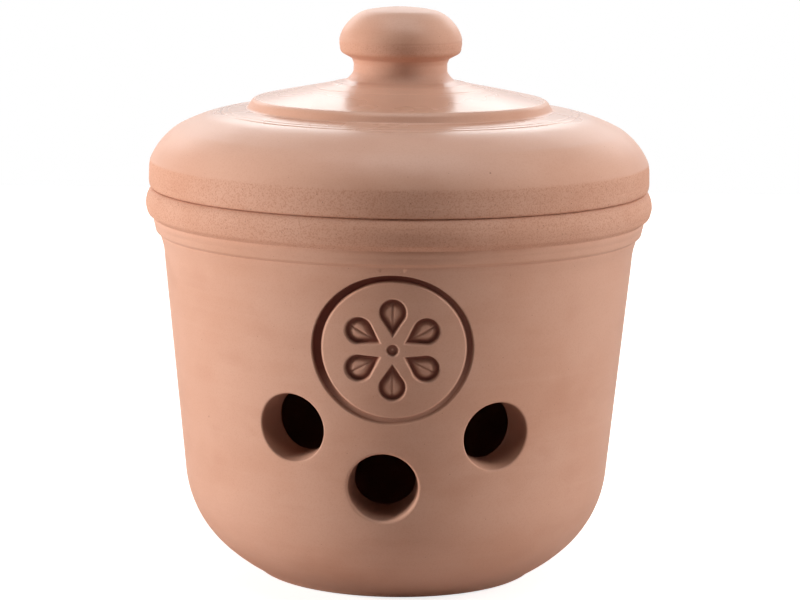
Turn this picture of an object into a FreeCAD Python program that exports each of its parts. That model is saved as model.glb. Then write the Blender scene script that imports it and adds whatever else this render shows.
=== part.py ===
"""Garlic keeper: a turned terracotta jar with three vents and a stamped medallion, and its domed lid.

Millimetres, +Z up. The origin is the centre of the jar's flat base, and -Y is the front.
Both pieces are turned about Z. Their sizes live in the sheet "Sizes".
"""

import FreeCAD, Part
import Sketcher
import math
import os

# Driving sizes. Radii are from the turning axis, and heights are from the surface the jar stands on.
SIZES = {
    # jar, outside
    "jar_height": 102.5,
    "base_radius": 35.2,
    "heel_height": 28.0,
    "heel_radius": 56.3,
    "wall_top_radius": 61.8,
    "collar_height": 9.5,
    "collar_radius": 64.6,
    "collar_hollow": 0.35,
    "rim_height": 8.8,
    "rim_step": 0.5,
    "rim_bulge": 2.2,
    "rim_draw_in": 0.9,
    # jar, inside
    "wall_thickness": 9.0,
    "floor_thickness": 9.0,
    "inner_heel_curve": 34.0,
    "mouth_round": 1.5,
    # vents, each at a turn about the jar from its front
    "vent_diameter": 17.6,
    "vent_lip_round": 0.8,
    "left_vent_turn": -26.9,
    "left_vent_height": 47.8,
    "middle_vent_turn": -3.4,
    "middle_vent_height": 33.7,
    "right_vent_turn": 25.8,
    "right_vent_height": 46.2,
    # medallion pressed into the wall above the vents
    "medallion_turn": -1.2,
    "medallion_height": 69.2,
    "medallion_width": 41.0,
    "medallion_length": 38.4,
    "medallion_line": 2.0,
    "medallion_depth": 1.3,
    "clove_count": 6,
    "clove_tip_reach": 3.4,
    "clove_middle_reach": 9.6,
    "clove_width": 7.0,
    "seed_diameter": 3.0,
    # lid, outside
    "lid_radius": 66.0,
    "lid_edge_round": 0.6,
    "band_height": 7.3,
    "dome_shoulder_radius": 47.4,
    "dome_rise": 12.5,
    "dome_bulge": 2.75,
    "disc_foot_radius": 39.6,
    "disc_foot_rise": 1.1,
    "disc_radius": 38.8,
    "disc_step": 2.3,
    "disc_crown_radius": 18.3,
    "disc_crown_rise": 4.3,
    # knob
    "neck_radius": 12.45,
    "neck_foot_rise": 3.9,
    "neck_foot_hollow": 1.3,
    "knob_edge_radius": 15.4,
    "knob_edge_rise": 4.0,
    "knob_under_hollow": 0.7,
    "knob_shoulder_radius": 9.3,
    "knob_side_rise": 11.0,
    "knob_side_bulge": 2.85,
    "knob_crown_rise": 1.1,
    # lid, underside
    "flange_clearance": 1.5,
    "flange_depth": 7.0,
    "flange_width": 6.5,
    "flange_round": 1.5,
    "lid_thickness": 9.0,
    "hollow_top_radius": 24.0,
    "hollow_top_rise": 2.0,
    "hollow_side_fall": 4.0,
    "hollow_bulge": 3.0,
}

# Sizes worked out from the driving ones, so that a change of one carries the others along.
WORKED_OUT = {
    # jar
    "rim_base_height": "=jar_height - rim_height",
    "wall_top_height": "=rim_base_height - collar_height",
    "rim_base_radius": "=collar_radius + rim_step",
    "seat_radius": "=rim_base_radius - rim_draw_in",
    "wall_slope": "=(wall_top_radius - heel_radius) / (wall_top_height - heel_height)",
    "wall_angle": "=atan(wall_slope)",
    "wall_foot_radius": "=heel_radius - wall_slope * heel_height",
    "wall_across": "=wall_thickness / cos(wall_angle)",
    "mouth_radius": "=wall_foot_radius + wall_slope * jar_height - wall_across",
    "inner_heel_height": "=floor_thickness + inner_heel_curve * (1 - sin(wall_angle))",
    "inner_heel_radius": "=wall_foot_radius + wall_slope * inner_heel_height - wall_across",
    "floor_radius": "=inner_heel_radius - inner_heel_curve * cos(wall_angle)",
    # lid
    "band_top_height": "=jar_height + band_height",
    "dome_shoulder_height": "=band_top_height + dome_rise",
    "disc_foot_height": "=dome_shoulder_height + disc_foot_rise",
    "disc_height": "=disc_foot_height + disc_step",
    "disc_crown_height": "=disc_height + disc_crown_rise",
    "neck_height": "=disc_crown_height + neck_foot_rise",
    "knob_edge_height": "=neck_height + knob_edge_rise",
    "knob_shoulder_height": "=knob_edge_height + knob_side_rise",
    "total_height": "=knob_shoulder_height + knob_crown_rise",
    "flange_radius": "=mouth_radius - flange_clearance",
    "flange_inner_radius": "=flange_radius - flange_width",
    "flange_base_height": "=jar_height - flange_depth",
    "hollow_side_height": "=dome_shoulder_height - lid_thickness - hollow_side_fall",
    "hollow_shoulder_height": "=disc_height - lid_thickness",
    "hollow_top_height": "=hollow_shoulder_height + hollow_top_rise",
}

VENTS = ("left_vent", "middle_vent", "right_vent")


# ---- the sheet ----

def make_sheet(doc):
    """Put every size into the spreadsheet under its own alias."""
    sheet = doc.addObject("Spreadsheet::Sheet", "Sizes")
    cells = {**SIZES, **WORKED_OUT}
    for row, (alias, content) in enumerate(cells.items(), start=1):
        sheet.set(f"A{row}", alias)
        sheet.set(f"B{row}", str(content))
        sheet.setAlias(f"B{row}", alias)
    doc.recompute()
    return sheet


def size(alias):
    """The value of a sheet cell as a plain number, or 0 for a place on an axis."""
    if alias == 0:
        return 0.0
    value = getattr(FreeCAD.ActiveDocument.Sizes, alias)
    return getattr(value, "Value", value)


def cell(alias):
    """A sheet cell as an expression."""
    return f"Sizes.{alias}" if alias else "0"


# ---- bodies and sketches ----

def add_body(doc, name):
    """A new body with its own origin."""
    body = doc.addObject("PartDesign::Body", name)
    doc.recompute()
    return body


def origin_feature(body, role):
    """The body's own origin plane or axis that has this role."""
    return next(item for item in body.Origin.OriginFeatures if item.Role == role)


def add_sketch(body, name):
    """An empty sketch on the body's upright plane: X is the radius and Y the height."""
    sketch = body.newObject("Sketcher::SketchObject", name)
    sketch.AttachmentSupport = [(origin_feature(body, "XZ_Plane"), "")]
    sketch.MapMode = "FlatFace"
    return sketch


def face_the_wall(sketch, turn, height):
    """Turn a sketch to look out square through the jar's wall, `height` up and `turn` from the front."""
    axis_height = f"{cell(height)} + {cell('wall_slope')} * ({cell('wall_foot_radius')}"
    axis_height += f" + {cell('wall_slope')} * {cell(height)})"
    place = f"create(<<vector>>; 0; {axis_height}; 0)"
    tilt = f"create(<<rotation>>; 0; {cell(turn)}; {cell('wall_angle')})"
    sketch.setExpression("AttachmentOffset", f"create(<<placement>>; {place}; {tilt})")


def bind(sketch, expression, *constraint):
    """Add a constraint whose value follows the sheet."""
    index = sketch.addConstraint(Sketcher.Constraint(*constraint))
    sketch.setExpression(f"Constraints[{index}]", expression)


def hold_point(sketch, edge, end, across, up):
    """Hold one end of an edge at the sheet's distances from the sketch's two axes."""
    if across == 0:
        sketch.addConstraint(Sketcher.Constraint("PointOnObject", edge, end, -2))
    else:
        bind(sketch, cell(across), "DistanceX", -1, 1, edge, end, size(across))
    if up == 0:
        sketch.addConstraint(Sketcher.Constraint("PointOnObject", edge, end, -1))
    else:
        bind(sketch, cell(up), "DistanceY", -1, 1, edge, end, size(up))


def flat_point(spot):
    """A sketch point from its distances across and up."""
    return FreeCAD.Vector(spot[0], spot[1], 0)


def arc_beside(start, end, bulge):
    """The arc from start to end whose middle lies `bulge` to the right of its chord."""
    across, up = end[0] - start[0], end[1] - start[1]
    chord = math.hypot(across, up)
    middle_across = (start[0] + end[0]) / 2 + bulge * up / chord
    middle_up = (start[1] + end[1]) / 2 - bulge * across / chord
    return Part.Arc(flat_point(start), flat_point((middle_across, middle_up)), flat_point(end))


def first_bulge(start, end, kind, measure=None):
    """How far an arc stands to the right of its chord before its constraints settle it."""
    chord = math.dist(start, end)
    if kind == "out":
        return size(measure)
    if kind == "in":
        return -size(measure)
    if kind == "curve":
        return math.sqrt(size(measure) ** 2 - chord ** 2 / 4) - size(measure)
    return chord / 8


def add_edge(sketch, start, end, bend):
    """Add the edge from start to end, and give its number and those of its first and last point."""
    if bend is None:
        return sketch.addGeometry(Part.LineSegment(flat_point(start), flat_point(end))), 1, 2
    bulge = first_bulge(start, end, *bend)
    edge = sketch.addGeometry(arc_beside(start, end, bulge))
    return (edge, 1, 2) if bulge > 0 else (edge, 2, 1)


def chord_bend_radius(start, end, bulge):
    """The radius of an arc that stands `bulge` over its chord, as an expression."""
    across = f"({cell(end[0])} - {cell(start[0])})"
    up = f"({cell(end[1])} - {cell(start[1])})"
    return f"({across} * {across} + {up} * {up}) / (8 * {cell(bulge)}) + {cell(bulge)} / 2"


def draw_profile(sketch, corners, bends):
    """Draw a closed half section, anticlockwise, through corners given as (radius, height) cells.

    `bends` names how the edge that leaves a corner bends, where it isn't straight:
    ("out", cell) and ("in", cell) stand that far over their chord, away from or into the clay,
    ("curve", cell) has that radius, and is hollow,
    ("smooth",) runs on smoothly into the straight edge after it,
    ("domed",) is centred on the turning axis.
    """
    spots = [(size(radius), size(height)) for radius, height in corners]
    following = corners[1:] + corners[:1]
    edges = [
        add_edge(sketch, start, end, bends.get(index))
        for index, (start, end) in enumerate(zip(spots, spots[1:] + spots[:1]))
    ]
    for index, (edge, first, last) in enumerate(edges):
        next_edge, next_first, _ = edges[(index + 1) % len(edges)]
        joined = "Tangent" if bends.get(index) == ("smooth",) else "Coincident"
        sketch.addConstraint(Sketcher.Constraint(joined, edge, last, next_edge, next_first))
        hold_point(sketch, edge, first, *corners[index])
    for index, (kind, *measure) in bends.items():
        edge = edges[index][0]
        if kind in ("out", "in"):
            radius = chord_bend_radius(corners[index], following[index], measure[0])
            bind(sketch, radius, "Radius", edge, sketch.Geometry[edge].Radius)
        elif kind == "curve":
            bind(sketch, cell(measure[0]), "Radius", edge, size(measure[0]))
        elif kind == "domed":
            sketch.addConstraint(Sketcher.Constraint("PointOnObject", edge, 3, -2))


def draw_circle(sketch, diameter):
    """A circle about the sketch's origin, with its diameter from the sheet."""
    outline = Part.Circle(FreeCAD.Vector(), FreeCAD.Vector(0, 0, 1), size(diameter) / 2)
    circle = sketch.addGeometry(outline)
    sketch.addConstraint(Sketcher.Constraint("Coincident", circle, 3, -1, 1))
    bind(sketch, cell(diameter), "Diameter", circle, size(diameter))


def turn_profile(body, name, corners, bends):
    """Turn a half section all the way round the body's Z axis."""
    sketch = add_sketch(body, name + "_section")
    draw_profile(sketch, corners, bends)
    turned = body.newObject("PartDesign::Revolution", name)
    turned.Profile = sketch
    turned.ReferenceAxis = (origin_feature(body, "Z_Axis"), [""])
    turned.Angle = 360.0
    body.Document.recompute()
    return turned


def round_rings(body, name, rings, radius):
    """Fillet the round edges that lie at the given (radius, height) cells."""
    base = body.Tip
    wanted = [(size(across), size(up)) for across, up in rings]
    found = []
    for number, edge in enumerate(base.Shape.Edges, start=1):
        if edge.Degenerated or not isinstance(edge.Curve, Part.Circle):
            continue
        ring = (edge.Curve.Radius, edge.Curve.Center.z)
        if any(math.dist(ring, spot) < 1e-4 for spot in wanted):
            found.append(f"Edge{number}")
    assert len(found) == len(rings), f"{name} found {len(found)} of {len(rings)} edges"
    fillet = body.newObject("PartDesign::Fillet", name)
    fillet.Base = (base, found)
    fillet.setExpression("Radius", cell(radius))
    body.Document.recompute()
    return fillet


# ---- the jar ----

def turn_jar(doc):
    """The plain turned pot: flat base, round heel, flared wall, collar and beaded rim."""
    body = add_body(doc, "jar_pot")
    corners = [
        (0, 0),
        ("base_radius", 0),
        ("heel_radius", "heel_height"),
        ("wall_top_radius", "wall_top_height"),
        ("collar_radius", "rim_base_height"),
        ("rim_base_radius", "rim_base_height"),
        ("seat_radius", "jar_height"),
        ("mouth_radius", "jar_height"),
        ("inner_heel_radius", "inner_heel_height"),
        ("floor_radius", "floor_thickness"),
        (0, "floor_thickness"),
    ]
    bends = {
        1: ("smooth",),
        3: ("in", "collar_hollow"),
        5: ("out", "rim_bulge"),
        8: ("curve", "inner_heel_curve"),
    }
    turn_profile(body, "pot", corners, bends)
    round_rings(body, "mouth_edge", [("mouth_radius", "jar_height")], "mouth_round")
    for vent in VENTS:
        punch_vent(body, vent)
    return body


def punch_vent(body, vent):
    """Punch one round vent square through the wall, and soften its outer lip."""
    before = body.Shape.Volume
    sketch = add_sketch(body, vent + "_circle")
    face_the_wall(sketch, vent + "_turn", vent + "_height")
    draw_circle(sketch, "vent_diameter")
    hole = body.newObject("PartDesign::Pocket", vent)
    hole.Profile = sketch
    hole.Type = "Length"
    hole.Reversed = True
    hole.setExpression("Length", f"2 * {cell('rim_base_radius')}")
    body.Document.recompute()
    assert body.Shape.Volume < before, f"{vent} cuts nothing"
    round_vent_lip(body, vent)


def round_vent_lip(body, vent):
    """Fillet the edges that a vent leaves on the outside of the wall."""
    base = body.Tip
    outside = size("wall_foot_radius") - size("wall_thickness") / 2
    found = []
    for number, edge in enumerate(base.Shape.Edges, start=1):
        on_vent = [is_vent_wall(face, vent) for face in base.Shape.ancestorsOfType(edge, Part.Face)]
        if all(on_vent) or not any(on_vent):
            continue
        middle = edge.valueAt((edge.FirstParameter + edge.LastParameter) / 2)
        if math.hypot(middle.x, middle.y) > outside + size("wall_slope") * middle.z:
            found.append(f"Edge{number}")
    fillet = body.newObject("PartDesign::Fillet", vent + "_lip")
    fillet.Base = (base, found)
    fillet.setExpression("Radius", cell("vent_lip_round"))
    body.Document.recompute()


def is_vent_wall(face, vent):
    """Whether a face is the round wall of this vent."""
    if not isinstance(face.Surface, Part.Cylinder):
        return False
    turn = math.radians(size(vent + "_turn"))
    axis = face.Surface.Axis
    sideways = axis.x * math.cos(turn) + axis.y * math.sin(turn)
    return abs(sideways) < 1e-6 and abs(axis.z) < 0.9


# ---- the medallion ----

def add_stamp_sketch(body, name):
    """An empty sketch square to the wall at the medallion's middle."""
    sketch = add_sketch(body, name)
    face_the_wall(sketch, "medallion_turn", "medallion_height")
    return sketch


def pad_stamp(body, sketch, name):
    """Raise a stamp sketch from the jar's axis to past its wall."""
    pad = body.newObject("PartDesign::Pad", name)
    pad.Profile = sketch
    pad.setExpression("Length", f"2 * {cell('rim_base_radius')}")
    body.Document.recompute()
    return pad


def draw_oval(sketch, lines_in):
    """An upright oval about the sketch's origin, so many line widths inside the medallion's outline."""
    inset = f" - {2 * lines_in} * {cell('medallion_line')}"
    half_width = size("medallion_width") / 2 - lines_in * size("medallion_line")
    half_length = size("medallion_length") / 2 - lines_in * size("medallion_line")
    oval = sketch.addGeometry(Part.Ellipse(FreeCAD.Vector(), half_width, half_length))
    sketch.exposeInternalGeometry(oval)
    wide_axis, tall_axis = oval + 1, oval + 2
    sketch.addConstraint(Sketcher.Constraint("Coincident", oval, 3, -1, 1))
    sketch.addConstraint(Sketcher.Constraint("Horizontal", wide_axis))
    bind(sketch, cell("medallion_width") + inset, "Distance", wide_axis, 2 * half_width)
    bind(sketch, cell("medallion_length") + inset, "Distance", tall_axis, 2 * half_length)


def draw_clove(sketch):
    """One clove above the seed: a round end, and two straight flanks that meet in a tip."""
    tip, middle, radius = size("clove_tip_reach"), size("clove_middle_reach"), size("clove_width") / 2
    flank_angle = math.asin(radius / (middle - tip))
    flank_x = radius * math.cos(flank_angle)
    flank_y = middle - radius * math.sin(flank_angle)
    circle = Part.Circle(flat_point((0, middle)), FreeCAD.Vector(0, 0, 1), radius)
    end = sketch.addGeometry(Part.ArcOfCircle(circle, -flank_angle, math.pi + flank_angle))
    tip_point = flat_point((0, tip))
    right = sketch.addGeometry(Part.LineSegment(tip_point, flat_point((flank_x, flank_y))))
    left = sketch.addGeometry(Part.LineSegment(flat_point((-flank_x, flank_y)), tip_point))
    sketch.addConstraint(Sketcher.Constraint("Coincident", left, 2, right, 1))
    sketch.addConstraint(Sketcher.Constraint("Tangent", right, 2, end, 1))
    sketch.addConstraint(Sketcher.Constraint("Tangent", end, 2, left, 1))
    sketch.addConstraint(Sketcher.Constraint("PointOnObject", end, 3, -2))
    sketch.addConstraint(Sketcher.Constraint("PointOnObject", right, 1, -2))
    bind(sketch, cell("clove_middle_reach"), "DistanceY", -1, 1, end, 3, middle)
    bind(sketch, cell("clove_tip_reach"), "DistanceY", -1, 1, right, 1, tip)
    bind(sketch, f"{cell('clove_width')} / 2", "Radius", end, radius)


def make_stamp(doc):
    """The stamp: an oval line round a rosette of cloves about a seed, reaching out from the jar's axis."""
    body = add_body(doc, "medallion_stamp")
    body.AllowCompound = True
    outline = add_stamp_sketch(body, "outline_ovals")
    draw_oval(outline, 0)
    draw_oval(outline, 1)
    pad_stamp(body, outline, "outline")
    seed_circle = add_stamp_sketch(body, "seed_circle")
    draw_circle(seed_circle, "seed_diameter")
    pad_stamp(body, seed_circle, "seed")
    clove_outline = add_stamp_sketch(body, "clove_outline")
    draw_clove(clove_outline)
    clove = pad_stamp(body, clove_outline, "clove")
    rosette = body.newObject("PartDesign::PolarPattern", "rosette")
    rosette.Originals = [clove]
    rosette.Axis = (clove_outline, ["N_Axis"])
    rosette.Angle = 360.0
    rosette.setExpression("Occurrences", cell("clove_count"))
    body.Tip = rosette
    doc.recompute()
    return body


def press_medallion(doc, pot, stamp):
    """Press the stamp into the pot's wall to an even depth, which leaves the finished jar."""
    floor = doc.addObject("Part::Cone", "medallion_floor")
    foot = f"{cell('wall_foot_radius')} - {cell('medallion_depth')} / cos({cell('wall_angle')})"
    floor.setExpression("Radius1", foot)
    floor.setExpression("Radius2", f"{foot} + {cell('wall_slope')} * {cell('jar_height')}")
    floor.setExpression("Height", cell("jar_height"))
    pressed = doc.addObject("Part::Cut", "medallion_hollow")
    pressed.Base = stamp
    pressed.Tool = floor
    jar = doc.addObject("Part::Cut", "jar")
    jar.Base = pot
    jar.Tool = pressed
    doc.recompute()
    assert jar.Shape.Volume < pot.Shape.Volume, "the medallion cuts nothing"
    return jar


# ---- the lid ----

def turn_lid(doc):
    """The lid: seat and flange, upright band, dome, raised disc and knob, hollow underneath."""
    body = add_body(doc, "lid")
    corners = [
        (0, "hollow_top_height"),
        ("hollow_top_radius", "hollow_shoulder_height"),
        ("flange_inner_radius", "hollow_side_height"),
        ("flange_inner_radius", "flange_base_height"),
        ("flange_radius", "flange_base_height"),
        ("flange_radius", "jar_height"),
        ("lid_radius", "jar_height"),
        ("lid_radius", "band_top_height"),
        ("dome_shoulder_radius", "dome_shoulder_height"),
        ("disc_foot_radius", "disc_foot_height"),
        ("disc_radius", "disc_height"),
        ("disc_crown_radius", "disc_crown_height"),
        ("neck_radius", "neck_height"),
        ("knob_edge_radius", "knob_edge_height"),
        ("knob_shoulder_radius", "knob_shoulder_height"),
        (0, "total_height"),
    ]
    bends = {
        1: ("in", "hollow_bulge"),
        7: ("out", "dome_bulge"),
        11: ("in", "neck_foot_hollow"),
        12: ("in", "knob_under_hollow"),
        13: ("out", "knob_side_bulge"),
        14: ("domed",),
    }
    turn_profile(body, "dome", corners, bends)
    flange_rings = [(radius, "flange_base_height") for radius in ("flange_inner_radius", "flange_radius")]
    round_rings(body, "flange_edges", flange_rings, "flange_round")
    round_rings(body, "lid_edge", [("lid_radius", "jar_height")], "lid_edge_round")
    return body


# ---- the document ----

def check_document(doc, pieces):
    """Stop if any object failed or any piece is empty, broken or more than one solid."""
    for item in doc.Objects:
        if "Invalid" in item.State or "Error" in item.State:
            raise RuntimeError(f"{item.Name} failed: {item.State}")
    for piece in pieces:
        shape = piece.Shape
        if shape.isNull() or not shape.isValid() or len(shape.Solids) != 1:
            raise RuntimeError(f"{piece.Label} is not one sound solid")


def main():
    doc = FreeCAD.newDocument("garlic_keeper")
    make_sheet(doc)
    pot = turn_jar(doc)
    stamp = make_stamp(doc)
    jar = press_medallion(doc, pot, stamp)
    lid = turn_lid(doc)
    pieces = (jar, lid)
    for piece in pieces:
        piece.Label = piece.Name
    doc.recompute()
    check_document(doc, pieces)
    os.makedirs("parts", exist_ok=True)
    for piece in pieces:
        piece.Shape.exportStep(f"parts/{piece.Label}.step")
        box = piece.Shape.optimalBoundingBox(False)
        print(f"{piece.Label}: {box.XLength:.2f} x {box.YLength:.2f} x {box.ZLength:.2f} mm,"
              f" from z {box.ZMin:.2f} to {box.ZMax:.2f}, {piece.Shape.Volume / 1000:.1f} cm3")


main()
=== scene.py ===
"""Garlic keeper: a turned, unglazed terracotta jar and lid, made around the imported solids.

Everything is in metres, +Z up, with the front of the keeper towards -Y. Both pieces are half
sections turned about Z, and the jar's grid has windows that its vents and medallion fill.
"""

import math
from collections import namedtuple

import bpy
import numpy as np
from bpy.props import FloatProperty, FloatVectorProperty, IntProperty, PointerProperty
from mathutils import Matrix, Vector


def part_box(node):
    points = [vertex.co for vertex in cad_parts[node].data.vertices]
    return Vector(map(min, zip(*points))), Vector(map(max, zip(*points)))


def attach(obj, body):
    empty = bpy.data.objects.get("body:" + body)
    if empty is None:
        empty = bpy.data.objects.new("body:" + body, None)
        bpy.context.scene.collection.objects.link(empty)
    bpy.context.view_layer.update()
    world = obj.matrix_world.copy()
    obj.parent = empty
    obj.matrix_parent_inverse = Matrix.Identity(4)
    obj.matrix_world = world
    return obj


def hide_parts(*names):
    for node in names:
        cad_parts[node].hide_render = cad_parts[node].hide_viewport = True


bl_info = {
    "name": "Terracotta garlic keeper",
    "version": (1, 0, 0),
    "blender": (4, 5, 0),
    "location": "View3D > Sidebar > Keeper",
    "description": "Turned terracotta jar and lid with vents and a stamped medallion",
    "category": "Object",
}

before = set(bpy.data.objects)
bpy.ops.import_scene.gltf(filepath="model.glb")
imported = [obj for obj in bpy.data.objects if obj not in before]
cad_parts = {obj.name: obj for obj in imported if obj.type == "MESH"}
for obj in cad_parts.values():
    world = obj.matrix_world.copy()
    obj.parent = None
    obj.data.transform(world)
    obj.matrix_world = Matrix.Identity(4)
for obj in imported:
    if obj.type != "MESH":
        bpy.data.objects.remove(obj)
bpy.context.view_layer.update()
JAR_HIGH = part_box("jar")[1]
LID_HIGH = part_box("lid")[1]

MM = 0.001
DEGREE = math.pi / 180
FINE = 0.05 * MM  # spacing at which a section is worked out before its rows are picked

WALL_FOOT, WALL_TOP = 28.0, 84.2  # heights between which the jar's wall is straight, in mm
SEAT_GAP = 0.03  # how far the lid's skin stays above the jar's, in mm

# Vents: turn about the jar from its front in degrees, then height, lip round, how much narrower
# the vent is at its inner end, and how ragged that end is, in millimetres.
Vent = namedtuple("Vent", "turn height lip narrowing ragged")
VENTS = (
    Vent(-26.9, 47.8, 0.5, 0.9, 0.08),
    Vent(-3.2, 33.5, 0.8, 1.1, 0.20),
    Vent(25.8, 46.2, 0.5, 0.9, 0.10),
)
VENT_ANGLES = np.linspace(0, math.tau, 96, endpoint=False)  # of the points in each loop
INNER_LIP = 0.6 * MM  # round of a vent's inner edge
VENT_MARGIN = 0.65  # from a vent's lip to the edge of its window in the outer skin, in mm
INNER_WINDOW = 1.1 * MM  # from a vent's radius to the edge of its window in the inner skin

# The medallion's rings: from outside to inside in shares of its half size, and how many points a
# ring has while its share is above each number.
RING_SHARES = np.arange(1.045, 0.01, -0.0125)
RING_POINTS = ((0.55, 420), (0.3, 280), (0.15, 140), (0.0, 70))
MEDALLION_WINDOW = 1.09  # its window's half size, in the same shares
SEED_DEPTH = 0.8  # how deep the seed is pressed, as a share of the stamp's depth

NEAR_SIDE = -30 * MM  # points further back than this from a spot are on the jar's other side

# Linear colours of the painted shade deep in a pit, and deep in a cut or the stamp.
PIT_SHADE_COLOUR = (0.12, 0.025, 0.014, 1.0)
PAINTED_SHADE_COLOUR = (0.13, 0.022, 0.010, 1.0)

# Lamps: name, place, width and height in metres, and whether glossy clay shows it.
LAMPS = (
    ("left", (-1.089, -0.134, 0.157), 0.25, 0.6, False),
    ("right", (1.052, -0.110, 0.383), 0.25, 0.75, False),
    ("back", (0, 0.980, 0.579), 1.6, 0.3, True),
    ("top", (0, -0.096, 1.176), 0.8, 0.8, True),
    ("side", (0.546, -0.315, 0.981), 0.5, 0.5, True),
)
LAMPS_FACE = (0, 0, 0.08)  # the middle of the keeper


# ---- sizes and colours ----

def length(name, description, default_mm):
    """A size in metres, written here in millimetres."""
    return FloatProperty(
        name=name, description=description, default=default_mm * MM, unit="LENGTH", precision=5
    )


def colour(name, description, default):
    """A linear colour."""
    return FloatVectorProperty(
        name=name, description=description, default=default, subtype="COLOR", size=3
    )


def power(name, description, default):
    """A lamp's power in watts."""
    return FloatProperty(name=name, description=description, default=default, unit="POWER")


class JarShape(bpy.types.PropertyGroup):
    """Sizes of the jar."""

    height: length("Height", "Base to seat", JAR_HIGH.z / MM)
    rim_radius: length("Rim radius", "Axis to the fullest part of the rim bead", JAR_HIGH.x / MM)
    base_radius: length("Base radius", "Axis to the edge of the flat base", 35.2)
    heel_radius: length("Heel radius", "Axis to the wall just above the rounded heel", 56.25)
    wall_radius: length("Wall radius", "Axis to the wall under the collar", 61.8)
    floor: length("Floor", "Thickness of the floor at its middle", 9.0)
    vent_radius: length("Vent radius", "Radius of each vent", 8.8)


class MedallionShape(bpy.types.PropertyGroup):
    """Sizes of the stamped medallion."""

    turn: FloatProperty(
        name="Turn", description="Angle from the front", default=-1.1 * DEGREE, unit="ROTATION"
    )
    height: length("Height", "Base to the medallion's middle", 69.2)
    half_width: length("Half width", "Middle to the outside of the line, sideways", 20.0)
    half_length: length("Half length", "Middle to the outside of the line, upwards", 19.1)
    line: length("Line", "Width of the oval line", 1.65)
    depth: length("Depth", "Depth of the stamp", 1.3)
    cloves: IntProperty(name="Cloves", description="Cloves in the rosette", default=6)
    tip_reach: length("Tip reach", "Middle to a clove's tip", 3.4)
    middle_reach: length("Middle reach", "Middle to the middle of a clove's round end", 9.6)
    clove_radius: length("Clove radius", "Radius of a clove's round end", 3.5)
    seed_radius: length("Seed radius", "Radius of the seed in the middle", 1.5)


class LidShape(bpy.types.PropertyGroup):
    """Sizes of the lid."""

    top: length("Top", "Height of the knob's top", LID_HIGH.z / MM)
    radius: length("Radius", "Axis to the upright edge band", LID_HIGH.x / MM)
    band: length("Band", "Height of the grainy edge band", 7.3)
    disc_radius: length("Disc radius", "Axis to the raised disc's edge", 38.8)
    neck_radius: length("Neck radius", "Axis to the knob's neck", 12.3)
    knob_radius: length("Knob radius", "Axis to the fullest part of the knob", 16.2)


class ClayLook(bpy.types.PropertyGroup):
    """Colours of the fired clay."""

    clay: colour("Clay", "Main colour of the fired clay", (0.60, 0.32, 0.218))
    pale: colour("Pale clay", "Where the skin is rubbed or dusty", (0.70, 0.43, 0.325))
    deep: colour("Deep clay", "Where the fire caught the clay", (0.45, 0.19, 0.11))


class Studio(bpy.types.PropertyGroup):
    """Powers of the soft lamps."""

    left: power("Left lamp", "Upright soft lamp on the left", 16.7)
    right: power("Right lamp", "Upright soft lamp on the right", 8.4)
    back: power("Back lamp", "Wide soft lamp behind and a little above the keeper", 4.4)
    top: power("Top lamp", "Soft lamp overhead", 4.8)
    side: power("Side lamp", "Soft lamp above and to the right", 1.2)
    ambient: FloatProperty(
        name="Ambient", description="Level of the light from all round", default=0.02
    )


# ---- sections ----

def trace(corners):
    """A half section through corners of (radius, height, bulge, row spacing) in millimetres.

    Each run goes straight to the next corner, or in an arc that stands `bulge` to the right of the
    way there: the arc's half angle is twice the arctangent of bulge over half the chord. Gives
    points FINE apart, in metres, and the row spacing at each point.
    """
    corners = np.array(corners, float) * MM
    points, spacing = [], []
    for start, end in zip(corners[:-1], corners[1:]):
        chord = np.hypot(*(end - start)[:2])
        along = (end - start)[:2] / chord
        right = np.array([along[1], -along[0]])
        share = np.linspace(0, 1, max(int(chord / FINE), 2), endpoint=False)
        forward, aside = share * chord, 0 * share
        if abs(start[2]) > 1e-9:
            half_angle = 2 * math.atan2(abs(start[2]), chord / 2)
            radius = chord / 2 / math.sin(half_angle)
            angle = (2 * share - 1) * half_angle
            forward = chord / 2 + radius * np.sin(angle)
            aside = np.sign(start[2]) * radius * (np.cos(angle) - math.cos(half_angle))
        points.append(start[:2] + np.outer(forward, along) + np.outer(aside, right))
        spacing.append(np.full(len(share), start[3]))
    points.append(corners[-1:, :2])
    spacing.append(corners[-2:-1, 3])
    return np.concatenate(points), np.concatenate(spacing)


def soften(points, reach):
    """Round a section's corners as a wet sponge does.

    Each point becomes the bell-weighted mean of its neighbours, with `reach` as the bell's spread.
    The ends are held by carrying the section on through them, turned over, so a pole stays on the
    axis.
    """
    half = int(4 * reach / FINE)
    weights = np.exp(-0.5 * (np.arange(-half, half + 1) * FINE / reach) ** 2)
    weights = weights / weights.sum()
    before = 2 * points[:1] - points[half:0:-1]
    after = 2 * points[-1:] - points[-2:-half - 2:-1]
    padded = np.concatenate([before, points, after])
    return np.stack([np.convolve(padded[:, axis], weights, "valid") for axis in (0, 1)], 1)


def bell(away, width):
    """1 at 0, and e to the minus (away / width) squared on both sides of it."""
    return np.exp(-(away / width) ** 2)


def score(points, spacing, lines):
    """Cut fine turned lines of (radius, height, depth, width) in millimetres into a section.

    Each moves the section back along its normal by depth times a bell of that width, and draws the
    rows together beside it. A negative depth raises a ridge.
    """
    along = np.gradient(points, axis=0)
    outward = np.stack([along[:, 1], -along[:, 0]], 1) / np.hypot(*along.T)[:, None]
    for radius, height, depth, width in np.array(lines) * MM:
        away = np.hypot(points[:, 0] - radius, points[:, 1] - height)
        away = np.abs(np.arange(len(points)) - away.argmin()) * FINE
        points = points - outward * (depth * bell(away, width))[:, None]
        spacing = np.where(away < 3 * width, np.minimum(spacing, width * 0.6), spacing)
    return points, spacing


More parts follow.
